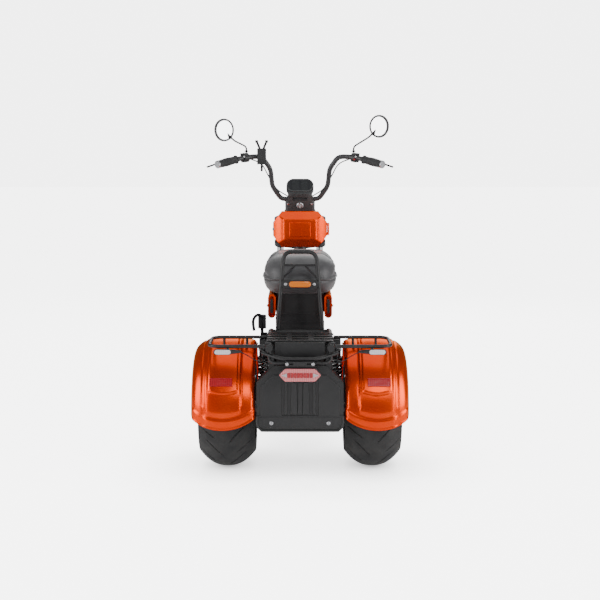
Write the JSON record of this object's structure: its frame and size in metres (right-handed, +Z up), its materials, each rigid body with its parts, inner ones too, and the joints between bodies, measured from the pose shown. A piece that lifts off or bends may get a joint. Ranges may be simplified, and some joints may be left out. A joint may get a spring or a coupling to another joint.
{
  "type": "electric trike scooter",
  "caption": "Three-wheeled electric scooter with fat rear tyres, coloured fenders, saddle, rear rack, high handlebar and small storage box.",
  "frame": {"origin": "middle of the footprint, on the ground", "axes": "+Y forward along the trike, +X to the rider's right, +Z up"},
  "size_m": [0.816, 1.848, 1.362],
  "materials": {
    "orange_paint": "metallic orange paint with clear coat",
    "frame_black": "satin black powder coat",
    "bar_grey": "satin dark grey coat",
    "black_plastic": "grained black moulded plastic",
    "seat_leather": "dark grey leatherette",
    "amber_lens": "amber reflector plastic",
    "red_lens": "red lamp plastic",
    "clear_lens": "clear lamp plastic",
    "cast_grey": "dark cast alloy",
    "spring_black": "gloss black spring coat",
    "alloy_satin": "satin alloy",
    "alloy_black": "black anodised alloy",
    "fork_chrome": "bright chrome",
    "grip_rubber": "ribbed dark rubber",
    "cable_sleeve": "black cable sleeve",
    "mirror_face": "silvered glass in a black rim",
    "tyre_rubber": "road tyre rubber with curved grooves",
    "rim_alloy": "machined cast alloy",
    "disc_steel": "ground steel"
  },
  "bodies": {
    "frame": {"main_frame": "frame_black", "footboard": "black_plastic", "battery_box": "black_plastic", "side_panels": "orange_paint", "seat_pan": "black_plastic", "seat": "seat_leather", "grab_hoop": "frame_black", "hoop_reflector": "amber_lens", "rear_fender_left": "orange_paint", "rear_fender_right": "orange_paint", "fender_rail_left": "frame_black", "fender_rail_right": "frame_black", "luggage_rack": "frame_black", "controller_box": "black_plastic", "rear_turn_lamps": "clear_lens", "plate_lamp": "black_plastic", "tail_lamp": "red_lens", "rear_cover": "black_plastic", "swing_fork": "frame_black", "rear_axle": "cast_grey", "shocks": "spring_black", "parking_brake": "alloy_satin", "storage_box": "orange_paint"},
    "steering": {"steering_head": "frame_black", "fork_left": "fork_chrome", "fork_right": "fork_chrome", "front_axle": "fork_chrome", "front_fender": "orange_paint", "headlamp": "black_plastic", "front_turn_lamps": "amber_lens", "brake_calliper": "cast_grey", "handlebar_riser": "alloy_black", "ignition_lock": "alloy_satin", "handlebar": "bar_grey", "display": "black_plastic", "grips": "grip_rubber", "switches": "black_plastic", "brake_levers": "alloy_black", "mirror_left": "mirror_face", "mirror_right": "mirror_face", "phone_holder": "black_plastic", "brake_cables": "cable_sleeve"},
    "rear_wheel_left": {"rear_tyre_left": "tyre_rubber", "rear_rim_left": "rim_alloy"},
    "rear_wheel_right": {"rear_tyre_right": "tyre_rubber", "rear_rim_right": "rim_alloy"},
    "front_wheel": {"front_tyre": "tyre_rubber", "front_rim": "rim_alloy", "front_disc": "disc_steel"},
    "box_door": {"box_door": "orange_paint"}
  },
  "joints": [
    {"name": "steering_turn", "type": "hinge", "parent": "frame", "child": "steering", "pos_m": [0, 0.66059, 0.2238], "axis": [0, -0.4067, 0.9135], "range_deg": [-35, 35]},
    {"name": "front_wheel_spin", "type": "hinge", "parent": "steering", "child": "front_wheel", "pos_m": [0, 0.688, 0.236], "axis": [1, 0, 0], "continuous": true},
    {"name": "rear_left_spin", "type": "hinge", "parent": "frame", "child": "rear_wheel_left", "pos_m": [-0.277, -0.572, 0.225], "axis": [1, 0, 0], "continuous": true},
    {"name": "rear_right_spin", "type": "hinge", "parent": "frame", "child": "rear_wheel_right", "pos_m": [0.277, -0.572, 0.225], "axis": [1, 0, 0], "continuous": true},
    {"name": "box_door_swing", "type": "hinge", "parent": "frame", "child": "box_door", "pos_m": [0.125, 0.233, 0.861], "axis": [0, 0, 1], "range_deg": [0, 95]}
  ]
}
